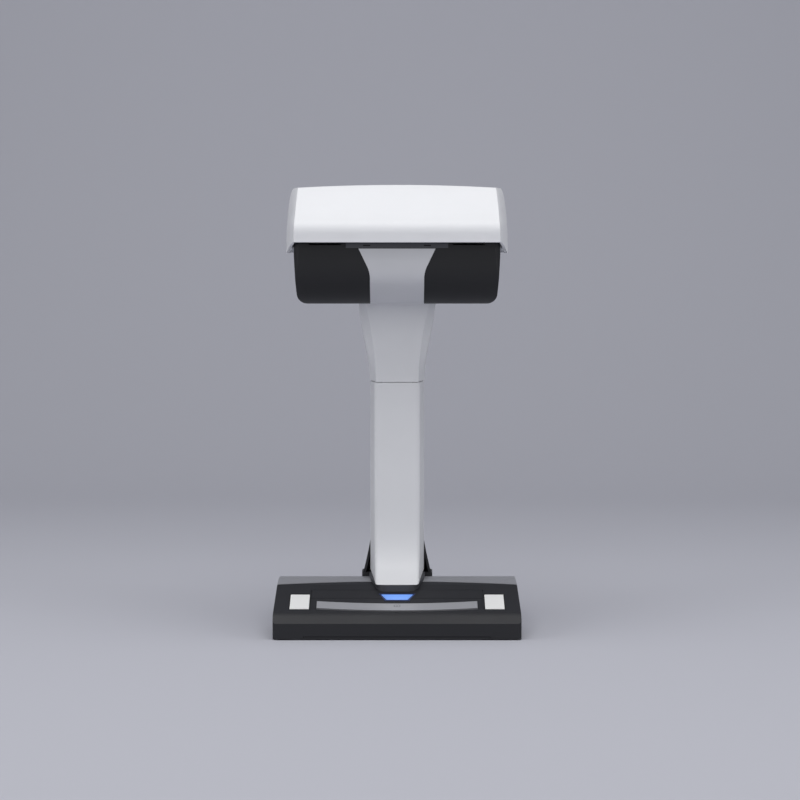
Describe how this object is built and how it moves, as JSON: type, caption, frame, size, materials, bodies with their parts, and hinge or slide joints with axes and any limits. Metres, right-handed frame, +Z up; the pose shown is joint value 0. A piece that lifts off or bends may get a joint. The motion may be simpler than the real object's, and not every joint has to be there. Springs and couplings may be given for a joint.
{
  "type": "book scanner",
  "caption": "Overhead book scanner: weighted base with a sloping control panel, a column, and a capped head whose scan unit swings forward over the page.",
  "frame": {"origin": "centre of the base's footprint, on the surface it stands on", "axes": "+Z up, the front of the object faces -Y, X is its width"},
  "size_m": [0.2098, 0.156, 0.383],
  "materials": {
    "black_shell": "fine moulded texture",
    "dark_trim": "satin moulded",
    "white_shell": "satin white moulded",
    "grey_shell": "satin grey metallic paint",
    "silver_bar": "silver metallic paint",
    "blue_light": "lit translucent plastic",
    "blue_rim": "dark blue translucent plastic",
    "white_pad": "smooth matt white reference",
    "rubber": "soft moulded",
    "steel": "zinc plated sheet",
    "screw_steel": "plated",
    "board": "green solder mask",
    "chip": "moulded package",
    "socket_metal": "tin plated shell",
    "glass": "clear, coated",
    "lens_black": "black anodised",
    "gear_plastic": "natural acetal",
    "bronze": "sintered",
    "chassis": "glass filled",
    "cable": "flat cable"
  },
  "bodies": {
    "stand": {"base_top_cover": "black_shell", "control_panel": "black_shell", "base_rear_cover": "grey_shell", "base_bottom_tray": "black_shell", "ballast_plate": "steel", "rubber_feet": "rubber", "tray_screws": "screw_steel", "white_reference_left": "white_pad", "white_reference_right": "white_pad", "button_board": "board", "button_switches": "chip", "status_light_guide": "blue_rim", "main_board": "board", "main_board_parts": "chip", "dc_inlet": "chip", "usb_socket": "socket_metal", "lock_slot_plate": "steel", "column_collar": "dark_trim", "column_front_cover": "white_shell", "neck_front_cover": "white_shell", "column_rear_cover": "black_shell", "column_spine": "steel", "column_screws": "screw_steel", "head_harness": "cable", "head_top_cover": "white_shell", "head_rear_cover": "black_shell", "head_frame": "steel", "left_pivot": "steel", "right_pivot": "steel", "relay_board": "board", "frame_screws": "screw_steel", "fixed_gear": "gear_plastic"},
    "scan_unit": {"scan_front_shell": "black_shell", "scan_rear_shell": "black_shell", "centre_fascia": "grey_shell", "window_glass": "glass", "optics_chassis": "chassis", "lens_barrel": "lens_black", "lens_glass": "glass", "sensor_board": "board", "line_sensor": "chip", "led_board": "board", "lamp_lens": "glass", "left_bush": "bronze", "right_bush": "bronze", "swing_motor": "steel", "reduction_axle": "steel", "scan_unit_screws": "screw_steel"},
    "reduction_gear": {"reduction_gear": "gear_plastic"},
    "motor_rotor": {"motor_pinion": "steel"},
    "scan_button": {"scan_button": "silver_bar", "scan_button_plungers": "chip"},
    "stop_button": {"stop_button": "blue_light", "stop_button_plunger": "chip"}
  },
  "joints": [
    {"name": "scan_swing", "type": "hinge", "parent": "stand", "child": "scan_unit", "pos_m": [0, -0.022, 0.332], "axis": [-1, 0, 0], "range_deg": [0, 50]},
    {"name": "reduction_spin", "type": "hinge", "parent": "scan_unit", "child": "reduction_gear", "pos_m": [0, 0.00168, 0.32338], "axis": [-1, 0, 0], "range_deg": [-20, 330]},
    {"name": "motor_spin", "type": "hinge", "parent": "scan_unit", "child": "motor_rotor", "pos_m": [0, -0.00621, 0.3072], "axis": [-1, 0, 0], "range_deg": [-1260, 60]},
    {"name": "scan_button_press", "type": "slide", "parent": "stand", "child": "scan_button", "axis": [0, 0.2794, -0.9602], "range_m": [0, 0.0008], "stiffness_N_per_m": 500, "springref_m": -0.001},
    {"name": "stop_button_press", "type": "slide", "parent": "stand", "child": "stop_button", "axis": [0, 0.2794, -0.9602], "range_m": [0, 0.0008], "stiffness_N_per_m": 300, "springref_m": -0.001}
  ],
  "couplings": [
    {"joint": "reduction_spin", "follows": "scan_swing", "ratio": 6},
    {"joint": "motor_spin", "follows": "scan_swing", "ratio": -24}
  ]
}
